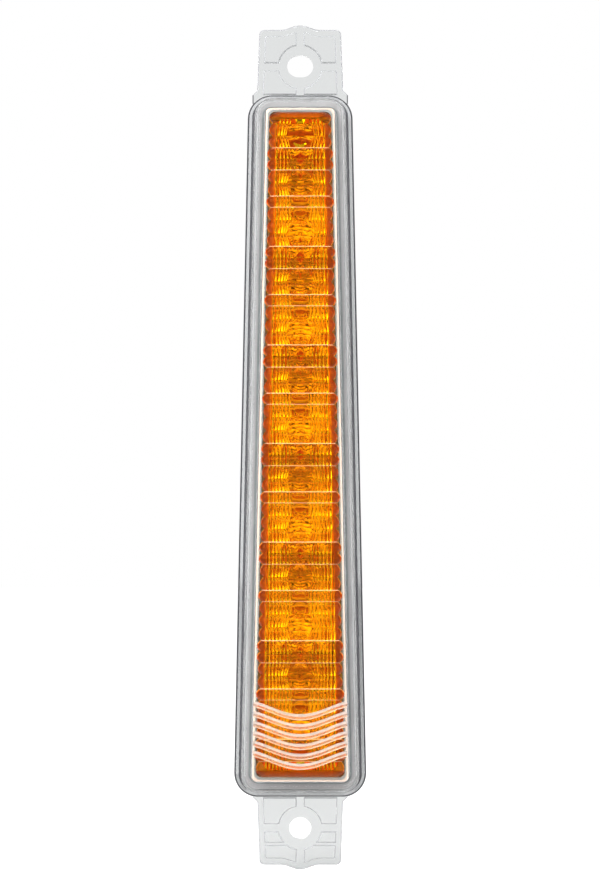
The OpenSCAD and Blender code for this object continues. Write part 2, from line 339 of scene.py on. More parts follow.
def add(
    tree: Tree, kind: str, inputs: dict[str | int, object] | None = None, **settings: object,
) -> Node:
    """Adds a node with its settings, socket values and links.

    Args:
        tree: the node tree.
        kind: the node's type name.
        inputs: socket name or number to its value, or to the output that feeds it. A node stands
            for its first output.
        settings: the node's own attributes.

    Returns:
        The new node.
    """
    node = tree.nodes.new(kind)
    for key, value in settings.items():
        setattr(node, key, value)
    for key, value in (inputs or {}).items():
        source = value.outputs[0] if isinstance(value, Node) else value
        if isinstance(source, bpy.types.NodeSocket):
            tree.links.new(source, node.inputs[key])
        else:
            node.inputs[key].default_value = source
    return node


def blank(name: str) -> tuple[bpy.types.Material, Tree]:
    """Makes an empty node material.

    Args:
        name: the material's name.

    Returns:
        The material and its node tree.
    """
    material = bpy.data.materials.new(name)
    material.use_nodes = True
    material.node_tree.nodes.clear()
    return material, material.node_tree


def bumps(tree: Tree, width_mm: float, height_mm: float, detail: float) -> Node:
    """Adds soft noise bumps on a piece's own coordinates.

    Args:
        tree: the node tree.
        width_mm: width of a bump.
        height_mm: height of a bump.
        detail: how many finer layers it has.

    Returns:
        The bump node, which gives the normal.
    """
    where = add(tree, "ShaderNodeTexCoord")
    noise = add(tree, "ShaderNodeTexNoise", {
        "Vector": where.outputs["Object"], "Scale": 1 / (width_mm * MM), "Detail": detail})
    return add(tree, "ShaderNodeBump", {
        "Height": noise, "Distance": height_mm * MM, "Strength": 1.0})


def set_stops(ramp: Node, stops: list[tuple[float, Colour]]) -> None:
    """Sets a colour ramp's stops.

    Args:
        ramp: the ramp node.
        stops: pairs of position and colour, at least two.
    """
    elements = ramp.color_ramp.elements
    for _ in range(len(stops) - len(elements)):
        elements.new(0.5)
    for element, (position, colour) in zip(elements, stops):
        element.position = position
        element.color = colour


@dataclass(frozen=True)
class ClearMoulding:
    """Injection-moulded acrylic that light passes through.

    The eye sees sharp highlights, what lies behind bent by every step of the surface, and a very
    faint ripple in the reflections, left by the tool.

    Attributes:
        name: the material's name.
        roughness: roughness of the surface.
        painted_light: share of a diffuse colour mixed into the glass, which paints a highlight or
            shade on the faces that carry this finish.
        painted_light_colour: colour of that painted highlight or shade.
        colour: tint of the light that passes.
        shadow: tint of the shadow it casts.
        gleam: tint of the reflections seen straight on.
        ripple_mm: width of the ripple.
        ripple_depth_mm: height of the ripple.
        ior: index of refraction, 1.49 for acrylic.
    """

    name: str
    roughness: float = 0.0
    # Share and colour of a painted highlight or shade, mixed into the glass
    painted_light: float = 0.0
    painted_light_colour: str = "#FFFFFF"
    colour: str = "#F8FAFA"
    shadow: str = "#F6F8F8"
    gleam: str = "#FFFFFF"
    ripple_mm: float = 9.0
    ripple_depth_mm: float = 0.0015
    ior: float = 1.49

    def material(self) -> bpy.types.Material:
        """Builds the material: glass for the eye, a tinted clear film for shadow rays.

        Returns:
            The new material.
        """
        material, tree = blank(self.name)
        surface = add(tree, "ShaderNodeBsdfPrincipled", {
            "Base Color": linear(self.colour), "Transmission Weight": 1.0, "IOR": self.ior,
            "Roughness": self.roughness, "Specular Tint": linear(self.gleam),
            "Normal": bumps(tree, self.ripple_mm, self.ripple_depth_mm, 1.0),
        })
        # Painted highlight or shade: a diffuse share in its own colour, mixed into the glass
        if self.painted_light:
            matt = add(tree, "ShaderNodeBsdfDiffuse", {"Color": linear(self.painted_light_colour)})
            surface = add(tree, "ShaderNodeMixShader", {0: self.painted_light, 1: surface, 2: matt})
        film = add(tree, "ShaderNodeBsdfTransparent", {"Color": linear(self.shadow)})
        path = add(tree, "ShaderNodeLightPath")
        mix = add(tree, "ShaderNodeMixShader", {
            0: path.outputs["Is Shadow Ray"], 1: surface, 2: film})
        add(tree, "ShaderNodeOutputMaterial", {"Surface": mix})
        return material


@dataclass(frozen=True)
class AmberMoulding(ClearMoulding):
    """The same moulding in amber acrylic, with a finer ripple."""

    colour: str = "#FFC600"
    shadow: str = "#FFDD28"
    gleam: str = "#FF9A20"
    ripple_mm: float = 2.2
    ripple_depth_mm: float = 0.002


@dataclass(frozen=True)
class Opaque:
    """A solid finish with a grain of bumps and a slight change of tone.

    Attributes:
        name: the material's name.
        colour: main colour.
        second: colour of the faint cloudy variation.
        roughness: mean roughness.
        grain_mm: width of the grain.
        grain_depth_mm: height of the grain.
        metallic: 1 for a metal.
        coat: weight of a clear coat.
        cloud_mm: width of the cloudy variation.
        blend: the noise values between which one colour turns into the other.
    """

    name: str
    colour: str
    second: str
    roughness: float
    grain_mm: float
    grain_depth_mm: float
    metallic: float = 0.0
    coat: float = 0.0
    cloud_mm: float = 14.0
    blend: tuple[float, float] = (0.3, 0.7)

    def material(self) -> bpy.types.Material:
        """Builds the material: two tones blended by soft noise, under a fine noise bump.

        Returns:
            The new material.
        """
        material, tree = blank(self.name)
        where = add(tree, "ShaderNodeTexCoord")
        cloud = add(tree, "ShaderNodeTexNoise", {
            "Vector": where.outputs["Object"], "Scale": 1 / (self.cloud_mm * MM), "Detail": 3.0})
        tone = add(tree, "ShaderNodeValToRGB", {"Fac": cloud})
        set_stops(tone, list(zip(self.blend, (linear(self.colour), linear(self.second)))))
        surface = add(tree, "ShaderNodeBsdfPrincipled", {
            "Base Color": tone, "Roughness": self.roughness, "Metallic": self.metallic,
            "Coat Weight": self.coat,
            "Normal": bumps(tree, self.grain_mm, self.grain_depth_mm, 2.0),
        })
        add(tree, "ShaderNodeOutputMaterial", {"Surface": surface})
        return material


class Finish(Enum):
    """Every finish of the lamp."""

    # Clear acrylic, moulded and polished: sharp highlights, edges drawn as grey lines
    CLEAR = ClearMoulding("clear_acrylic")
    # The same acrylic with a painted highlight on each wave rib's long upper slope: a soft white
    # edge, painted as a diffuse share
    CLEAR_PAINTED_HIGHLIGHT = ClearMoulding("clear_acrylic_painted_highlight", 0.25, 0.7, "#DFD2CB")
    # The same acrylic with a faint painted highlight on each wave rib's short lower slope: a faint
    # peach line
    CLEAR_PAINTED_FAINT_HIGHLIGHT = ClearMoulding("faint_clear_acrylic_painted_highlight", 0.2, 0.45, "#E6CABA")
    # The same acrylic on the rim's back seat, with painted shade: mid-grey seen through the depth
    # of the rim
    CLEAR_PAINTED_SEAT_SHADE = ClearMoulding("clear_acrylic_painted_seat_shade", 0.05, 0.42, "#66666A")
    # The same acrylic with painted shade on the ears' edges and the leaning walls of their hollows:
    # soft grey lines
    CLEAR_PAINTED_EAR_SHADE = ClearMoulding("clear_acrylic_painted_ear_shade_lines", 0.05, 0.46, "#A0A0A4")
    # The same acrylic with painted shade in the rim's tight rounds: a dark grey line along each
    CLEAR_PAINTED_ROUND_SHADE = ClearMoulding("clear_acrylic_painted_round_shade", 0.05, 0.88, "#3E3E42")
    # The same acrylic with a painted highlight on the small round inside the front's edge: the
    # white line round the amber
    CLEAR_PAINTED_LINE_HIGHLIGHT = ClearMoulding("clear_acrylic_painted_line_highlight", 0.2, 0.65, "#EACBB6")
    # The same acrylic with painted shade on the wave ribs' flat crests: a brownish peach tint over
    # the amber
    CLEAR_PAINTED_CREST_SHADE = ClearMoulding("clear_acrylic_painted_crest_shade", 0.1, 0.4, "#C48C6C")
    # Amber acrylic, moulded and polished: deep orange where light passes it twice
    AMBER = AmberMoulding("amber_acrylic", 0.01, colour="#FFC000")
    # The same amber acrylic with painted light on the skirt's inner side: the light that the skirt
    # carries, painted as an even burnt orange
    AMBER_PAINTED_SKIRT_LIGHT = AmberMoulding("amber_acrylic_painted_skirt_light", 0.3, 0.75, "#FF9420")
    # The same amber acrylic with a painted highlight on the raised bands' steps: a fine peach line
    AMBER_PAINTED_STEP_HIGHLIGHT = AmberMoulding("amber_acrylic_painted_step_highlight", 0.3, 0.8, "#FFD2A8", gleam="#FFFFFF")
    # Metallised polycarbonate: a mirror with a faint haze
    MIRROR = Opaque(
        "metallised_polycarbonate", "#D2D2D0", "#C4C5C4", 0.08, 1.6, 0.001, metallic=1.0)
    # White solder mask over glass-fibre board: glossy white, faintly uneven
    BOARD = Opaque("white_solder_mask", "#E9EBE6", "#DCDFD8", 0.35, 0.5, 0.004, coat=0.3)
    # ABS with a fine spark-eroded grain: soft mid-grey
    HOUSING = Opaque("grained_abs", "#929594", "#8B8E8E", 0.5, 0.35, 0.012)
    # Silicone sealant: satin, pale warm grey
    SEALANT = Opaque("cured_sealant", "#BDB8B9", "#B2ADAE", 0.45, 0.6, 0.02)
    # Moulded rubber: dull black with a dusty bloom
    RUBBER = Opaque("moulded_rubber", "#17181A", "#222427", 0.7, 0.25, 0.01)
    # Zinc-plated steel: cool bright metal
    ZINC = Opaque("zinc_plated_steel", "#C6CACE", "#AEB4BA", 0.3, 0.3, 0.003, metallic=1.0)
    # Heat-proof white plastic of a diode's body
    DIODE = Opaque("white_polyamide", "#F1EFE6", "#E6E3D8", 0.4, 0.2, 0.003)
    # Silicone dome over the diode's chip: glossy, amber brown
    DOME = Opaque("silicone_dome", "#A8761E", "#8C5E16", 0.08, 0.8, 0.001, coat=1.0)
    # Black epoxy of moulded chips
    EPOXY = Opaque("moulded_epoxy", "#141416", "#1D1D20", 0.5, 0.12, 0.004)
    # Fired ceramic of a capacitor, tan and matt
    CERAMIC = Opaque("fired_ceramic", "#B79A6D", "#A88A5E", 0.55, 0.2, 0.003)
    # Natural polyamide of a socket, warm white
    SOCKET = Opaque("natural_polyamide", "#E9E5D6", "#DDD8C6", 0.45, 0.3, 0.004)

    def put_on(self, piece: Piece, chosen: Mask | None = None) -> None:
        """Gives a piece this finish, or only some of its faces; the others keep what they have.

        Args:
            piece: the object.
            chosen: one truth value for each face, or nothing for the whole piece.
        """
        faces, materials = piece.data.polygons, piece.data.materials
        index = np.zeros(len(faces), dtype=np.int32)
        if chosen is None:
            materials.clear()
        else:
            faces.foreach_get("material_index", index)
            index[chosen] = len(materials)
        materials.append(bpy.data.materials.get(self.value.name) or self.value.material())
        faces.foreach_set("material_index", index)


# The lamp

@dataclass(frozen=True)
class Rim:
    """The lamp's tapered outline with round corners, which each moulding follows at its inset."""

    top: float = 87.8
    bottom: float = -87.2
    top_width: float = 25.9
    bottom_width: float = 33.2
    corner: float = 6.0
    top_share: float = 0.86
    least_corner: float = 1.5
    steps: int = 14

    @property
    def lean(self) -> float:
        """Angle of each side to the upright, in degrees."""
        spread = (self.bottom_width - self.top_width) / 2
        return math.degrees(math.atan(spread / (self.top - self.bottom)))

    def half_width(self, z: float | Array) -> float | Array:
        """Half the width at a height: half the top's, plus the drop times the sides' slope."""
        return self.top_width / 2 + (self.top - z) * math.tan(math.radians(self.lean))

    def __call__(self, inset: float) -> Array:
        """The outline at an inset: four arcs, each touching the straight stretches beside it.

        Args:
            inset: distance inwards from the rim's edge.

        Returns:
            Rows of X and Z, anticlockwise seen from the front.
        """
        lean = self.lean
        radius = max(self.corner - inset, self.least_corner)
        upper = self.top - inset * self.top_share - radius
        lower = self.bottom + inset + radius
        slant = (inset + radius) / math.cos(math.radians(lean))
        x_upper = self.half_width(upper) - slant
        x_lower = self.half_width(lower) - slant
        return np.concatenate([
            arc(x_lower, lower, radius, -90, lean, self.steps),
            arc(x_upper, upper, radius, lean, 90, self.steps),
            arc(-x_upper, upper, radius, 90, 180 - lean, self.steps),
            arc(-x_lower, lower, radius, 180 - lean, 270, self.steps),
        ])

    def loft(self, profile: list[tuple[float, float]]) -> Solid:
        """A skin through pairs of inset and depth, each one a ring of the outline."""
        return stack(*[(self(inset), depth) for inset, depth in profile])

    def ring(self, outer: float, inner: float, start: float, end: float) -> Piece:
        """A flat ring between two insets and two depths, as an object."""
        band = place("ring", prism(self(outer), start, end))
        return shape(band, Cut.REMOVE, prism(self(inner), start - PAST, end + PAST))


@dataclass(frozen=True)
class Ear:
    """One fixing ear in its own place, drawn end up about its hole and turned for the lower one."""

    hole_z: float = 95.0
    root: float = 87.8
    root_gap: float = 0.15
    sign: int = 1
    slot_extra: float = 1.0
    hole: float = 5.5
    boss: float = 10.6
    height: float = 4.0
    skin_thickness: float = 1.6
    wall: float = 1.4
    root_width: float = 21.4
    end_width: float = 20.4
    reach: float = 9.1
    step_z: float = 4.0
    step_width: float = 0.5
    nose_height: float = 1.15
    nose_width: float = 9.8
    corner: float = 1.2
    least_corner: float = 0.4
    rib: float = 1.75
    overlap: float = 2.0
    flare: float = 1.2
    edge: float = 0.28
    edge_drop: float = 0.7
    lean: float = 0.3
    mark_x: float = 7.0
    mark_z: float = -4.4
    mark_width: float = 4.4
    mark_depth: float = 0.2

    def _outline(self, wall: float, root: float, flare: float) -> Array:
        """The ear's outline moved in by a wall: straight sides, round corners and a nose.

        The nose is half a cosine wave: its height is h (1 + cos(pi x / half its width)) / 2.

        Args:
            wall: distance inwards from the edge.
            root: height of the root, counted from the hole.
            flare: how far the root spreads.

        Returns:
            Rows of X and Z, anticlockwise seen from the front.
        """
        near = self.root_width / 2 - wall
        far = self.end_width / 2 - wall
        top = self.reach - wall
        radius = max(self.corner - wall / 2, self.least_corner)
        half = self.nose_width / 2
        spread = root + self.overlap
        x = np.linspace(half, -half, 25)
        nose = np.column_stack([x, top + self.nose_height * (1 + np.cos(np.pi * x / half)) / 2])
        return self.put(np.concatenate([
            [[near + flare, root], [near + flare, spread], [near, spread + flare]],
            arc(far - radius, top - radius, radius, 0, 90, 8),
            nose,
            arc(radius - far, top - radius, radius, 90, 180, 8),
            [[-near, spread + flare], [-near - flare, spread], [-near - flare, root]],
        ]))

    def put(self, points: Array) -> Array:
        """Moves points from the ear's own place to the lamp's, half a turn on for the lower ear."""
        return self.sign * (points + np.array([0.0, self.hole_z]))

    def plate(self) -> Solid:
        """The ear as a solid plate with a round front edge, its root sunk into the rim.

        Returns:
            The closed plate.
        """
        root = self.root - self.hole_z - self.overlap
        edge = quarter(self.edge, 5, self.edge_drop)
        layers = [(inset, self.height - drop) for inset, drop in edge]
        return stack(*[
            (self._outline(inset, root, self.flare), depth) for inset, depth in [(0, 0), *layers]])

    def _hole(self) -> Array:
        """Outline of the hole, or of the slot in the upper ear, which is longer across.

        Returns:
            Rows of X and Z.
        """
        extra, radius = self.slot_extra / 2, self.hole / 2
        if not extra:
            return self.put(arc(0, 0, radius, 0, 354, 59))
        ends = [arc(extra, 0, radius, -90, 90, 32), arc(-extra, 0, radius, 90, 270, 32)]
        return self.put(np.concatenate(ends))

    def _rib(self, z: float, width: float, length: float, depth: float) -> Solid:
        """A straight rib behind the skin, wider towards the skin by the lean on each side.

        Args:
            z: the rib's height, counted from the hole.
            width: its size across the lamp.
            length: its size up the lamp.
            depth: depth of the skin.

        Returns:
            The closed rib.
        """
        narrow = self.put(rectangle(0, z, width, length))
        wide = self.put(rectangle(0, z, width + 2 * self.lean, length + 2 * self.lean))
        return stack((narrow, -2 * PAST), (narrow, 0.0), (wide, depth), (wide, self.height))

    def carve(self, cover: Piece) -> None:
        """Cuts the ear's hollow, its hole and the lower ear's two shallow marks into the cover.

        The hollow leaves the wall, the boss round the hole and the ribs that tie them together.

        Args:
            cover: the object to cut.
        """
        depth = self.height - self.skin_thickness
        root = self.root - self.hole_z + self.root_gap
        narrow = self._outline(self.wall, root, 0.0)
        wide = self._outline(self.wall + self.lean, root + self.lean, 0.0)
        hollow = place("hollow", stack((narrow, -PAST), (narrow, 0.0), (wide, depth)))
        x, z = self.put(np.zeros(2))
        bore, foot = self.boss / 2, self.boss / 2 + self.lean
        boss = [(bore, -2 * PAST), (bore, 0.0), (foot, depth), (foot, self.height)]
        across = 2 * self.root_width
        upright = self._rib(0, self.rib, 4 * self.reach, depth)
        ribs = [upright, self._rib(0, across, self.rib, depth)]
        if not self.slot_extra:
            ribs.append(self._rib(self.step_z, across, self.step_width, depth))
        shape(hollow, Cut.REMOVE, turned(x, z, boss), *ribs)
        shape(cover, Cut.REMOVE, hollow)
        if not self.slot_extra:
            for side in (-1, 1):
                x, z = self.put(np.array([side * self.mark_x, self.mark_z]))
                mark = pin(x, z, self.mark_width, depth - PAST, depth + self.mark_depth)
                shape(cover, Cut.REMOVE, mark)
        shape(cover, Cut.REMOVE, prism(self._hole(), -PAST, self.height + PAST))


@dataclass
class Cover:
    """The clear cover: stepped rim, side walls, front, two ears and the wave ribs in one moulding.

    A tilt is the least and most share of a face's normal along the depth, by which the faces of a
    finish are found; slope_share is the least share of a rib's slope along Z.
    """

    rim: Rim = Rim()
    flange: float = 4.5
    flange_edge: float = 0.58
    flange_drop: float = 1.1
    window_inset: float = 1.6
    root_round: float = 0.6
    root_rise: float = 1.2
    height: float = 19.0
    front: float = 2.0
    wall: float = 2.5
    edge: float = 1.3
    inner_edge: float = 0.85
    draft: float = 0.25
    skirt: float = 1.5
    foot: float = 2.45
    sunk: float = 0.05
    wave_count: int = 6
    wave_top: float = -63.4
    wave_pitch: float = 2.45
    wave_width: float = 1.5
    wave_height: float = 0.7
    wave_dip: float = 3.3
    wave_turn: float = 143.0
    wave_sunk: float = 0.3
    wave_upper: float = 0.47
    wave_lower: float = 0.17
    wave_gap: float = 0.15
    body_margin: float = 0.3
    ear_margin: float = 0.14
    line_tilt: tuple[float, float] = (0.7, 0.99)
    round_tilt: tuple[float, float] = (-0.95, -0.15)
    ear_wall_tilt: tuple[float, float] = (0.05, 0.3)
    ear_edge_tilt: tuple[float, float] = (-0.97, -0.1)
    slope_tilt: float = 0.1
    slope_share: float = 0.4
    near: float = 0.03
    crease: float = 28.0

    @property
    def inner(self) -> float:
        """Depth of the front's inner face."""
        return self.height - self.front

    def _outside(self) -> Solid:
        """The outer skin: flange with a round edge, a hollow round at its foot, wall, front round.

        Returns:
            The closed skin.
        """
        foot = quarter(self.root_rise, 6, self.root_round)
        shoulder = self.window_inset + self.draft
        return self.rim.loft([
            (0.0, 0.0),
            *[(i, self.flange - d) for i, d in quarter(self.flange_edge, 6, self.flange_drop)],
            *[(self.window_inset - side, self.flange + rise) for rise, side in foot],
            *[(shoulder + i, self.height - d) for i, d in quarter(self.edge, 12)],
        ])

    def _inside(self) -> Solid:
        """The space inside: a leaning wall and a small round up to the front's inner face.

        Returns:
            The closed space.
        """
        inset = self.window_inset + self.wall
        return self.rim.loft([
            (inset - self.draft, self.foot - self.sunk),
            *[(inset + self.draft + i, self.inner - d) for i, d in quarter(self.inner_edge, 8)],
        ])

    @property
    def wave_half(self) -> float:
        """Half the length of a wave rib."""
        half = float(self.rim.half_width(self.wave_top))
        return half - self.window_inset - self.wall - self.draft - self.wave_gap

    def _wave(self, z: float) -> Solid:
        """One wave rib: a bar with a long slope above and a short one below, along a dipping line.

        Its line dips by d ((1 - cos(t x / h)) / (1 - cos t) - 1), where h is the rib's half length
        and t the turn at its ends.

        Args:
            z: height of the rib's ends.

        Returns:
            The closed rib, sunk a little into the front.
        """
        half = self.wave_half
        turn = math.radians(self.wave_turn)
        x = np.linspace(-half, half, 81)
        line = self.wave_dip * ((1 - np.cos(turn * x / half)) / (1 - math.cos(turn)) - 1)
        lower, upper = self.wave_lower - 0.5, 0.5 - self.wave_upper
        across = self.wave_width * np.array([-0.5, -0.5, lower, upper, 0.5, 0.5])
        height = self.wave_height
        deep = np.array([self.wave_sunk, 0, -height, -height, 0, self.wave_sunk])
        size = (len(x), len(across))
        return skin(np.stack([
            np.broadcast_to(x[:, None], size),
            np.broadcast_to(-self.inner - deep[None, :], size),
            z + line[:, None] + across[None, :],
        ], axis=-1))

    def _zones(self, cover: Piece) -> dict[Finish, Mask]:
        """Finds the faces that get a painted highlight or painted shade, by their place and tilt.

        Args:
            cover: the finished cover.

        Returns:
            The faces of each finish, in the order in which the finishes are put on.
        """
        faces = Faces.of(cover)
        flat = faces.back > FLAT
        low, high = self.rim.bottom, self.rim.top
        body = between(faces.z, low + self.body_margin, high - self.body_margin)
        ears = ~between(faces.z, low - self.ear_margin, high + self.ear_margin)
        crest = self.inner - self.wave_height
        lowest = self.wave_top - self.wave_count * self.wave_pitch - self.wave_dip
        slopes = (
            between(faces.depth, crest, self.inner) & (faces.back > self.slope_tilt)
            & between(faces.z, lowest, self.wave_top + self.wave_width)
            & (np.abs(faces.x) < self.wave_half + self.wave_gap)
        )
        rim_low, rim_high = self.flange - self.flange_drop, self.flange + self.root_rise
        rounds = between(faces.back, *self.round_tilt) & between(faces.depth, rim_low, rim_high)
        walls, edges = (
            between(faces.back, *tilt) for tilt in (self.ear_wall_tilt, self.ear_edge_tilt))
        # Painted highlights and painted shade on the clear acrylic, each with its faces
        return {
            Finish.CLEAR_PAINTED_LINE_HIGHLIGHT: between(faces.back, *self.line_tilt)
            & between(faces.depth, self.inner - self.inner_edge, self.inner - 0.01),
            Finish.CLEAR_PAINTED_HIGHLIGHT: slopes & (faces.up > self.slope_share),
            Finish.CLEAR_PAINTED_FAINT_HIGHLIGHT: slopes & (faces.up < -self.slope_share),
            Finish.CLEAR_PAINTED_CREST_SHADE: flat & (np.abs(faces.depth - crest) < self.near),
            Finish.CLEAR_PAINTED_SEAT_SHADE: body & flat & (faces.depth < 0.1),
            Finish.CLEAR_PAINTED_EAR_SHADE: ears & (walls | edges),
            Finish.CLEAR_PAINTED_ROUND_SHADE: body & (rounds | faces.inner_walls & (faces.depth < self.foot)),
        }

    def build(self) -> Piece:
        """Builds the cover as one closed mesh and dresses it.

        Returns:
            The cover.
        """
        cover = place("clear_cover", self._outside())
        ears = [Ear(), Ear(root=-self.rim.bottom, sign=-1, slot_extra=0.0)]
        shape(cover, Cut.ADD, *[ear.plate() for ear in ears])
        shape(cover, Cut.REMOVE, prism(self.rim(self.skirt), -PAST, self.foot), self._inside())
        for ear in ears:
            ear.carve(cover)
        heights = [self.wave_top - k * self.wave_pitch for k in range(self.wave_count)]
        shape(cover, Cut.ADD, *[self._wave(z) for z in heights])
        smooth(cover, self.crease)
        Finish.CLEAR.put_on(cover)
        # Paints highlights and shade onto chosen faces of the clear acrylic
        for finish, faces in self._zones(cover).items():
            finish.put_on(cover, faces)
        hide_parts("cover_lens")
        return cover


@dataclass
class AmberLens:
    """The fluted amber lens: a head of cross flutes and raised bands on a plain skirt."""

    rim: Rim = Rim()
    inset: float = 5.45
    front: float = 15.0
    thickness: float = 2.0
    skirt: float = 1.8
    skirt_gap: float = 0.05
    board: float = 6.2
    foot: float = 6.26
    cell: float = 24.4
    cells: int = 6
    first_border: float = 16.4
    band: float = 2.75
    rise: float = 0.4
    sag: float = 0.78
    shoulder: float = 12.55
    shoulder_gap: float = 0.03
    side_round: float = 2.4
    corner_round: float = 1.5
    end_round: float = 1.85
    side_step: float = 0.8
    fine_pitch: float = 0.9
    fine_sag: float = 0.3
    fine_gap: float = 2.15
    beads: int = 4
    bead_steps: int = 12
    bead_sag: float = 1.3
    eyes: tuple[float, ...] = (0.25, 0.75)
    eye_width: float = 1.3
    eye_height: float = 2.3
    eye_reach: float = 2.5
    step: float = 0.03
    step_near: float = 0.05
    step_share: float = 0.75
    steps: int = 10
    crease: float = 32.0

    @property
    def top(self) -> float:
        """Height of the lens's upper end."""
        return self.rim.top - self.inset * self.rim.top_share

    @property
    def bottom(self) -> float:
        """Height of the lens's lower end."""
        return self.rim.bottom + self.inset

    @property
    def border(self) -> float:
        """Height of the uppermost border between two cells."""
        return self.rim.top - self.first_border

    @property
    def roof(self) -> float:
        """Depth of the hollow's roof."""
        return self.front - self.thickness

    def rows(self) -> Array:
        """The rows of flutes from the top down.

        Returns:
            One row of height and rise for each.
        """
        plain = (self.cell - 3 * self.band) / 5
        head = (self.top - self.border - self.band) / 3
        tail = self.border - self.cells * self.cell - self.bottom - self.band
        raised = (self.band, self.rise)
        flat = (plain, 0.0)
        one_cell = [raised, flat, flat, raised, flat, flat, flat, raised]
        return np.array(
            [(head, 0.0)] * 3 + [raised] + one_cell * self.cells + [raised, (tail, 0.0)])

    def line(self) -> tuple[Array, Array]:
        """The surface down the lens: within a row its drop is s (2 t - 1)^2 less the row's rise.

        Returns:
            Heights from the bottom up, and how far the surface lies behind the plain crests.
        """
        rows = self.rows()
        tops = self.top - np.concatenate([[0], np.cumsum(rows[:-1, 0])])
        t = np.linspace(0, 1, self.steps + 1)
        z = tops[:, None] - rows[:, :1] * (self.step + (1 - 2 * self.step) * t)[None, :]
        drop = self.sag * (2 * t[None, :] - 1) ** 2 - rows[:, 1:]
        z, drop = z.ravel()[::-1], drop.ravel()[::-1]
        near = self.end_round * (1 - np.cos(np.radians(np.linspace(6, 84, 10))))
        heights = np.unique(np.concatenate([z, self.top - near, self.bottom + near]))
        return heights, np.interp(heights, z, drop)

    def _shrink(self, z: Array, radius: float) -> Array:
        """How far a round end draws in: r - sqrt(r^2 - c^2), where c is the depth into the round.

        Args:
            z: heights.
            radius: radius of the round end.

        Returns:
            One distance for each height.
        """
        near = np.minimum(self.top - z, z - self.bottom)
        into = np.clip(radius - near, 0, radius)
        return radius - np.sqrt(radius ** 2 - into ** 2)

    def _outside(self) -> Solid:
        """The outer skin, carried up the lamp: skirt, shoulder, scalloped side, round and front.

        Returns:
            The closed skin.
        """
        z, drop = self.line()
        half = self.rim.half_width(z)
        ends = self._shrink(z, self.corner_round)
        side = (half - self.inset - drop - ends)[:, None]
        skirt = (half - self.inset - self.side_step - ends)[:, None]
        face = self.front - drop - self._shrink(z, self.end_round)
        angle = np.radians(np.linspace(0, 90, 15))[None, :]
        deep = np.clip(face - self.shoulder - self.shoulder_gap, 0.01, self.side_round)
        left_x = -(side - self.side_round * (1 - np.cos(angle)))
        left_d = face[:, None] - deep[:, None] * (1 - np.sin(angle))
        x = np.hstack([skirt, -skirt, -skirt, -side, left_x, -left_x[:, ::-1], side, skirt])
        foot, low = (np.full((len(z), 1), depth) for depth in (self.foot, self.shoulder))
        depth = np.hstack([foot, foot, low, low, left_d, left_d[:, ::-1], low, low])
        return skin(np.stack([x, -depth, np.broadcast_to(z[:, None], x.shape)], axis=-1))

    def _bend(self, x: Array, z: Array) -> Array:
        """How far the flutes bend out round each eye of a cell, at every height and flute.

        The bend is a e^(-(dz / w)^2) e^((g - |x|) / s) outside the middle strip of half width g,
        and falls evenly to nothing inside it; dz is the distance to the eye's height.

        Args:
            x: places across the lens, unbent.
            z: heights.

        Returns:
            One row for each height and one column for each place.
        """
        fractions = np.arange(-1, self.cells + 1)[:, None] + np.array(self.eyes)[None, :]
        eyes = self.border - self.cell * fractions.ravel()
        near = np.exp(-((z[:, None] - eyes[None, :]) / self.eye_height) ** 2).sum(axis=1)
        away, gap = np.abs(x), self.fine_gap
        far = np.where(away > gap, np.exp((gap - away) / self.eye_reach), away / gap)
        return self.eye_width * near[:, None] * (np.sign(x) * far)[None, :]

    def _flutes(self) -> Solid:
        """The hollow's roof, carried up the lamp: bent flutes, and beads over the diodes.

        Each flute bulges by s (1 - (2 t - 1)^2) across itself. Each bead is a cap that bulges by
        b (1 - (x / g)^2 - (2 t - 1)^2), with t along the lamp and g the strip's half width.

        Returns:
            A tall block whose front face is fluted.
        """
        gap = self.fine_gap
        widest = self.rim.bottom_width / 2 - self.inset - self.skirt - gap
        count = math.ceil(widest / self.fine_pitch) + 1
        t = np.linspace(0, 1, 9)[:-1]
        right_x = gap + (np.arange(count)[:, None] + t[None, :]).ravel() * self.fine_pitch
        right_sag = np.tile(self.fine_sag * (1 - (2 * t - 1) ** 2), count)
        middle_x = np.linspace(-gap, gap, 13)[1:-1]
        x = np.concatenate([-right_x[::-1], middle_x, right_x])
        fine = np.concatenate([right_sag[::-1], 0 * middle_x, right_sag])
        step = self.cell / self.beads / self.bead_steps
        low, high = self.rim.bottom - self.border, self.rim.top - self.border
        j = np.arange(math.floor(low / step), math.ceil(high / step) + 1)
        z = self.border + j * step
        along = (2 * ((j / self.bead_steps + 0.5) % 1) - 1) ** 2
        cap = np.clip(1 - (x / gap)[None, :] ** 2 - along[:, None], 0, 1)
        depth = self.roof - fine[None, :] - self.bead_sag * cap
        across = x[None, :] + self._bend(x, z)
        edge, base, top = (
            np.full((len(z), 1), value)
            for value in (x[-1] + self.eye_width, self.foot - PAST, self.roof))
        all_x = np.hstack([edge, -edge, -edge, across, edge])
        all_depth = np.hstack([base, base, top, depth, top])
        return skin(np.stack(
            [all_x, -all_depth, np.broadcast_to(z[:, None], all_x.shape)], axis=-1))

    def _steps(self, faces: Faces) -> Mask:
        """Finds the steps of the raised bands on the lens's head.

        Args:
            faces: the finished lens's faces.

        Returns:
            One truth value for each face.
        """
        rows = self.rows()
        borders = self.top - np.cumsum(rows[:-1, 0])[np.diff(rows[:, 1]) != 0]
        away = np.abs(faces.z[:, None] - borders[None, :]).min(axis=1)
        near = away < self.step * self.band + self.step_near
        return near & (np.abs(faces.up) > self.step_share) & (faces.depth > self.shoulder)

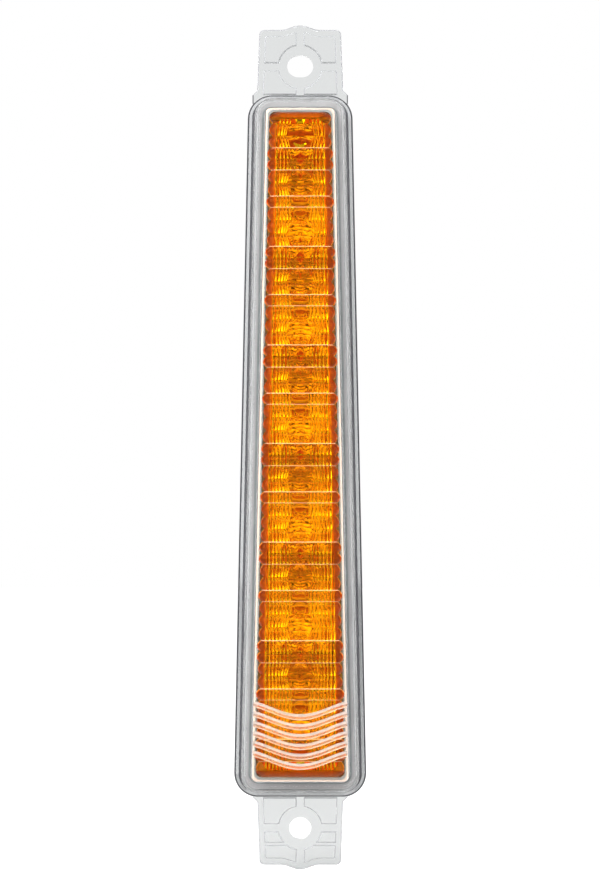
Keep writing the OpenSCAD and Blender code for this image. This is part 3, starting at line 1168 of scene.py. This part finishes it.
    def build(self) -> Piece:
        """Builds the lens as one closed mesh and dresses it.

        Returns:
            The lens.
        """
        walls = self.rim(self.inset + self.skirt_gap + self.skirt)
        hollow = place("hollow", prism(walls, self.foot - PAST, self.roof + PAST))
        shape(hollow, Cut.KEEP, self._flutes())
        lens = place("amber_lens", self._outside())
        shape(lens, Cut.REMOVE, hollow)
        smooth(lens, self.crease)
        faces = Faces.of(lens)
        Finish.AMBER.put_on(lens)
        # Painted light: the skirt's inner walls get an even burnt orange in place of the light
        # carried along the skirt
        Finish.AMBER_PAINTED_SKIRT_LIGHT.put_on(lens, faces.inner_walls)
        # Painted highlight: a fine peach line on the raised bands' steps
        Finish.AMBER_PAINTED_STEP_HIGHLIGHT.put_on(lens, self._steps(faces))
        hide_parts("amber_lens")
        return lens


@dataclass
class Reflector:
    """The bright strip with one fluted cup round each diode."""

    lens: AmberLens
    inset: float = 7.45
    height: float = 5.9
    floor: float = 0.8
    cup: float = 13.5
    cup_start: float = 0.3
    cup_past: float = 1.1
    window_width: float = 4.3
    window_length: float = 5.6
    flutes: int = 18
    flute_depth: float = 0.1
    screws: tuple[int, ...] = (0, 2, 4, 6)
    screw_pocket: float = 4.1
    screw_depth: float = 1.45
    crease: float = 24.0

    def cell_z(self, k: float) -> float:
        """Height of a cell's middle, counted from 0 at the top."""
        return self.lens.border - (k + 0.5) * self.lens.cell

    def _cup(self, z: float) -> Solid:
        """One cup: depth grows with the square of the radius, and the radius is scalloped round.

        The radius at an angle a is r (1 + f (|cos(n a / 2)| - 1)).

        Args:
            z: height of the cup's middle.

        Returns:
            The cup's hollow as a closed solid.
        """
        angle = np.linspace(0, 2 * np.pi, self.flutes * 8, endpoint=False)
        scallop = 1 + self.flute_depth * (np.abs(np.cos(self.flutes * angle / 2)) - 1)
        unit = np.column_stack([np.cos(angle), np.sin(angle)]) * scallop[:, None]
        rise = self.height - self.floor
        radii = np.linspace(self.cup_start, self.cup * self.cup_past, 22)
        depths = self.lens.board + self.floor + rise * (radii / self.cup) ** 2
        profile = [*zip(radii, depths), (radii[-1], depths[-1] + 3 * PAST)]
        return stack(*[(np.array([0.0, z]) + r * unit, depth) for r, depth in profile])

    def _window(self, z: float) -> Solid:
        """A diode's light opening: an upright slot with round ends.

        Args:
            z: height of its middle.

        Returns:
            The opening as a closed solid.
        """
        radius = self.window_width / 2
        reach = self.window_length / 2 - radius
        outline = np.concatenate([
            arc(0, z + reach, radius, 0, 180, 16), arc(0, z - reach, radius, 180, 360, 16)])
        return prism(outline, self.lens.board - PAST, self.lens.board + self.height)

    def build(self) -> Piece:
        """Builds the strip as one closed mesh and dresses it.

        Returns:
            The strip.
        """
        foot, cells = self.lens.board, self.lens.cells
        strip = place("reflector_strip", prism(self.lens.rim(self.inset), foot, foot + self.height))
        shape(strip, Cut.REMOVE, *[self._cup(self.cell_z(k)) for k in range(-1, cells + 1)])
        shape(strip, Cut.REMOVE, *[self._window(self.cell_z(k)) for k in range(cells)])
        for k in self.screws:
            z = self.lens.border - k * self.lens.cell
            pocket = pin(0, z, self.screw_pocket, foot - PAST, foot + self.screw_depth)
            shape(strip, Cut.REMOVE, pocket)
        smooth(strip, self.crease)
        Finish.MIRROR.put_on(strip)
        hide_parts("reflector")
        return strip


@dataclass
class Diodes:
    """Six diodes, each a white body with a silicone dome in its light opening."""

    reflector: Reflector
    width: float = 2.8
    length: float = 3.5
    body: float = 0.9
    height: float = 1.9
    edge: float = 0.12
    dome: float = 1.3
    sunk: float = 0.1
    crease: float = 40.0

    def _body(self, z: float) -> Solid:
        """A block with a rounded front edge.

        Args:
            z: height of its middle.

        Returns:
            The closed block.
        """
        foot = self.reflector.lens.board
        edge = [(i, foot + self.body - d) for i, d in quarter(self.edge, 3)]
        return stack(*[
            (rectangle(0, z, self.width - 2 * inset, self.length - 2 * inset), depth)
            for inset, depth in [(0, foot), *edge]])

    def _dome(self, z: float) -> Solid:
        """A flattened half ball on the body: radius r cos a at a height of h sin a.

        Args:
            z: height of its middle.

        Returns:
            The closed dome, sunk a little into the body.
        """
        start = self.reflector.lens.board + self.body - self.sunk
        rise = self.height - self.body + self.sunk
        angle = np.radians(np.linspace(0, 88, 14))
        depths = start + rise * np.sin(angle) / math.sin(angle[-1])
        return turned(0, z, list(zip(self.dome * np.cos(angle), depths)), 48)

    def build(self) -> list[Piece]:
        """Builds and dresses the diodes.

        Returns:
            The diodes, from the top down.
        """
        pieces = []
        for k in range(self.reflector.lens.cells):
            z = self.reflector.cell_z(k)
            body, dome = self._body(z), self._dome(z)
            shift = len(body.points)
            both = Solid(
                np.concatenate([body.points, dome.points]),
                body.faces + [[point + shift for point in face] for face in dome.faces])
            diode = smooth(place(f"diode_{k + 1}", both), self.crease)
            Finish.DIODE.put_on(diode)
            Finish.DOME.put_on(diode, np.arange(len(diode.data.polygons)) >= len(body.faces))
            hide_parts(f"led_{k + 1}")
            pieces.append(diode)
        return pieces


@dataclass
class Housing:
    """The rear housing with its light chamber, ledge and bead groove, and the cable grommet."""

    rim: Rim = Rim()
    edge_inset: float = 1.65
    base: float = 2.4
    sunk: float = 0.3
    chamber_inset: float = 4.6
    chamber: float = 0.8
    chamber_top: float = 12.4
    ledge: float = 0.9
    board: float = 4.6
    inlet_z: float = -38.4
    inlet: float = 4.8
    grommet: float = 1.6
    lip: float = 0.35
    collar: float = 1.2
    collar_height: float = 0.8
    edge: float = 0.35
    groove_outer: float = 2.03
    groove_inner: float = 3.57
    groove_floor: float = 1.78
    mark: float = 5.0
    mark_depth: float = 0.15
    marks: tuple[float, ...] = (72, 36, -8, -72)
    crease: float = 30.0
    grommet_crease: float = 35.0

    def build(self) -> Piece:
        """Builds the housing as one closed mesh and dresses it.

        Returns:
            The housing.
        """
        edge = [(self.edge_inset + i, d) for i, d in quarter(self.edge, 4)[::-1]]
        housing = place("rear_housing", self.rim.loft([*edge, (self.edge_inset, self.base)]))
        outer, inner = self.chamber_inset, self.chamber_inset + self.chamber
        sunk = self.base - self.sunk
        ledge = self.rim.ring(outer, inner + self.ledge, sunk, self.board)
        wall = self.rim.ring(outer, inner, sunk, self.chamber_top)
        shape(housing, Cut.ADD, ledge, wall)
        groove = self.rim.ring(
            self.groove_outer, self.groove_inner, self.groove_floor, self.base + PAST)
        seat = pin(0, self.inlet_z, self.inlet + 2 * self.grommet, -PAST, self.base + PAST)
        marks = [pin(0, z, self.mark, -PAST, self.mark_depth) for z in self.marks]
        shape(housing, Cut.REMOVE, groove, seat, *marks)
        smooth(housing, self.crease)
        Finish.HOUSING.put_on(housing)
        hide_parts("rear_housing")
        return housing

    def build_grommet(self) -> Piece:
        """Builds the rubber grommet: a turned ring with round lips and a collar.

        Returns:
            The grommet.
        """
        bore = self.inlet / 2
        seat, collar = bore + self.grommet, bore + self.grommet + self.collar
        lip = quarter(self.lip, 5)[::-1]
        top = self.base + self.collar_height
        ring = place("cable_grommet", turned(0, self.inlet_z, [
            *[(seat - i, d) for i, d in lip],
            (seat, self.base), (collar, self.base), (collar, top),
        ]))
        shape(ring, Cut.REMOVE, turned(0, self.inlet_z, [
            (bore + self.lip, -PAST), *[(bore + i, d) for i, d in lip],
            (bore, self.base + 2 * PAST),
        ]))
        smooth(ring, self.grommet_crease)
        Finish.RUBBER.put_on(ring)
        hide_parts("cable_grommet")
        return ring


class KeptPart(Enum):
    """The construction's own pieces that stay as they are: how their names start, and finish."""

    BOARD = ("circuit_board", Finish.BOARD)
    BEAD = ("sealing_bead", Finish.SEALANT)
    SCREWS = ("board_screws", Finish.ZINC)
    DRIVER = ("driver_chip", Finish.EPOXY)
    PROTECTION = ("protection_diode", Finish.EPOXY)
    CAPACITOR = ("smoothing_capacitor", Finish.CERAMIC)
    CONNECTOR = ("cable_connector", Finish.SOCKET)
    RESISTORS = ("resistor_", Finish.EPOXY)


def dress_kept_parts() -> None:
    """Gives every kept piece its finish."""
    for part in KeptPart:
        start, finish = part.value
        for name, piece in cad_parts.items():
            if name.startswith(start):
                finish.put_on(piece)


# The studio

@dataclass
class Studio:
    """White surroundings, a pale floor, two soft lamps and a long lens straight in front.

    Attributes:
        floor_z: height of the floor.
        floor_front: how far the floor's front edge lies before the lamp.
        floor_half: half the floor's width, and how far it reaches behind the lamp.
        floor_tone: how much light the floor scatters.
        floor_white: how far the floor is lifted for the camera.
        distance: the camera's distance in metres.
        frame_height: what the frame's height takes in.
        centre_x: the frame's middle across the lamp.
        centre_z: the frame's middle up the lamp.
        ambient: strength of the light from all round.
        lamps: name, power in watts and place in metres of each soft lamp.
        lamp_size: side of a lamp in metres.
        tones: the room's tone for mirrors and lenses, at shares of the way from front to back.
        front_end: share of the way at which the dark patch behind the camera ends.
        clear_front: least tone of that patch, seen through the lamp.
    """

    floor_z: float = -105.35
    floor_front: float = -350.0
    floor_half: float = 3000.0
    floor_tone: float = 0.55
    floor_white: float = 0.7
    distance: float = 1.5
    frame_height: float = 224.0
    centre_x: float = -0.05
    centre_z: float = -0.17
    ambient: float = 0.6
    lamps: tuple[tuple[str, float, tuple[float, float, float]], ...] = (
        ("key_lamp", 78.0, (-1.0, -1.1, 0.7)), ("fill_lamp", 52.0, (1.2, -1.0, 0.3)))
    lamp_size: float = 2.6
    tones: tuple[tuple[float, float], ...] = (
        (0.0, 0.03), (0.04, 0.06), (0.09, 1.0), (0.25, 1.0), (0.31, 0.1), (0.38, 0.1),
        (0.44, 0.6), (0.58, 0.6), (0.62, 0.05), (0.9, 0.05), (0.94, 0.84), (1.0, 0.86),
    )
    front_end: float = 0.09
    clear_front: float = 0.84

    def _room(self, tree: Tree, path: Node) -> Node:
        """Works out the tone that a mirror or a lens sees.

        It depends only on how far a direction turns from the lamp's front to its back. What looks
        straight through the lamp at the dark patch in front sees at least a pale tone.

        Args:
            tree: the world's node tree.
            path: its light path node.

        Returns:
            The node that gives the tone.
        """
        maths = "ShaderNodeMath"
        where = add(tree, "ShaderNodeTexCoord")
        split = add(tree, "ShaderNodeSeparateXYZ", {0: where.outputs["Generated"]})
        along = add(tree, "ShaderNodeMapRange", {
            "Value": split.outputs["Y"], "From Min": -1.0, "From Max": 1.0})
        ramp = add(tree, "ShaderNodeValToRGB", {"Fac": along})
        set_stops(ramp, [(place, (tone, tone, tone, 1.0)) for place, tone in self.tones])
        front = add(tree, maths, {0: along, 1: self.front_end}, operation="LESS_THAN")
        # Half a reflection: true before the first one
        direct = add(tree, maths, {0: path.outputs["Glossy Depth"], 1: 0.5}, operation="LESS_THAN")
        through = add(
            tree, maths, {0: direct, 1: path.outputs["Is Transmission Ray"]}, operation="MULTIPLY")
        clear = add(tree, maths, {0: front, 1: through}, operation="MULTIPLY")
        least = add(tree, maths, {0: clear, 1: self.clear_front}, operation="MULTIPLY")
        return add(tree, maths, {0: ramp, 1: least}, operation="MAXIMUM")

    def build_world(self) -> None:
        """Builds the surroundings: white to the eye, the room's tones to a mirror or a lens."""
        world = bpy.data.worlds.new("studio")
        bpy.context.scene.world = world
        world.use_nodes = True
        tree = world.node_tree
        tree.nodes.clear()
        path = add(tree, "ShaderNodeLightPath")
        sees = add(tree, "ShaderNodeMath", {
            0: path.outputs["Is Glossy Ray"], 1: path.outputs["Is Transmission Ray"],
        }, operation="MAXIMUM")
        pure = linear("#FFFFFF")
        light = add(tree, "ShaderNodeBackground", {"Color": pure, "Strength": self.ambient})
        room = add(tree, "ShaderNodeBackground", {"Color": self._room(tree, path)})
        white = add(tree, "ShaderNodeBackground", {"Color": pure})
        first = add(tree, "ShaderNodeMixShader", {0: sees, 1: light, 2: room})
        second = add(tree, "ShaderNodeMixShader", {
            0: path.outputs["Is Camera Ray"], 1: first, 2: white})
        add(tree, "ShaderNodeOutputWorld", {"Surface": second})

    def build_floor(self) -> None:
        """Lays a wide matt floor under the lamp, lifted to white for the camera, shadow kept."""
        half = self.floor_half
        corners = rectangle(0, (half + self.floor_front) / 2, 2 * half, half - self.floor_front)
        points = np.column_stack([corners, np.full(4, self.floor_z)])
        floor = place("floor", Solid(points, [[0, 1, 2, 3]]))
        material, tree = blank("studio_floor")
        tone = self.floor_tone
        matt = add(tree, "ShaderNodeBsdfDiffuse", {"Color": (tone, tone, tone, 1.0)})
        path = add(tree, "ShaderNodeLightPath")
        lift = add(tree, "ShaderNodeMath", {
            0: path.outputs["Is Camera Ray"], 1: self.floor_white}, operation="MULTIPLY")
        glow = add(tree, "ShaderNodeEmission", {"Strength": lift})
        both = add(tree, "ShaderNodeAddShader", {0: matt, 1: glow})
        add(tree, "ShaderNodeOutputMaterial", {"Surface": both})
        floor.data.materials.append(material)

    def build_lamp(self, name: str, power: float, where: tuple[float, float, float]) -> None:
        """Hangs one square soft lamp that faces the origin.

        Args:
            name: the lamp's name.
            power: its power in watts.
            where: its place in metres.
        """
        light = bpy.data.lights.new(name, "AREA")
        light.energy = power
        light.shape = "SQUARE"
        light.size = self.lamp_size
        holder = bpy.data.objects.new(name, light)
        holder.visible_camera = False
        bpy.context.collection.objects.link(holder)
        direction = -np.array(where)
        holder.location = where
        yaw = math.atan2(direction[1], direction[0])
        pitch = math.asin(direction[2] / np.linalg.norm(direction))
        holder.rotation_euler = (math.pi / 2 + pitch, 0.0, yaw - math.pi / 2)

    def build_camera(self) -> None:
        """Sets a long lens straight in front, whose frame takes in the frame height."""
        camera = bpy.data.cameras.new("camera")
        camera.sensor_width = 36.0
        camera.lens = camera.sensor_width * self.distance / (self.frame_height * MM)
        camera.clip_start = 0.05
        camera.clip_end = 50.0
        holder = bpy.data.objects.new("camera", camera)
        bpy.context.collection.objects.link(holder)
        holder.location = (self.centre_x * MM, -self.distance, self.centre_z * MM)
        holder.rotation_euler = (math.pi / 2, 0.0, 0.0)
        bpy.context.scene.camera = holder

    def build(self) -> None:
        """Builds the whole studio."""
        scene = bpy.context.scene
        scene.view_settings.view_transform = "Standard"
        scene.cycles.max_bounces = 24
        scene.cycles.transmission_bounces = 20
        scene.cycles.glossy_bounces = 10
        scene.cycles.transparent_max_bounces = 16
        self.build_world()
        self.build_floor()
        for name, power, where in self.lamps:
            self.build_lamp(name, power, where)
        self.build_camera()


def main() -> None:
    """Builds the studio and the lamp."""
    logging.basicConfig(level=logging.INFO, format="%(message)s")
    Studio().build()
    lens = AmberLens()
    reflector = Reflector(lens)
    housing = Housing()
    pieces = [
        Cover().build(),
        lens.build(),
        reflector.build(),
        *Diodes(reflector).build(),
        housing.build(),
        housing.build_grommet(),
    ]
    for piece in pieces:
        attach(piece, "root")
        log.info("%s: %d faces", piece.name, len(piece.data.polygons))
    dress_kept_parts()


if __name__ == "__main__":
    main()
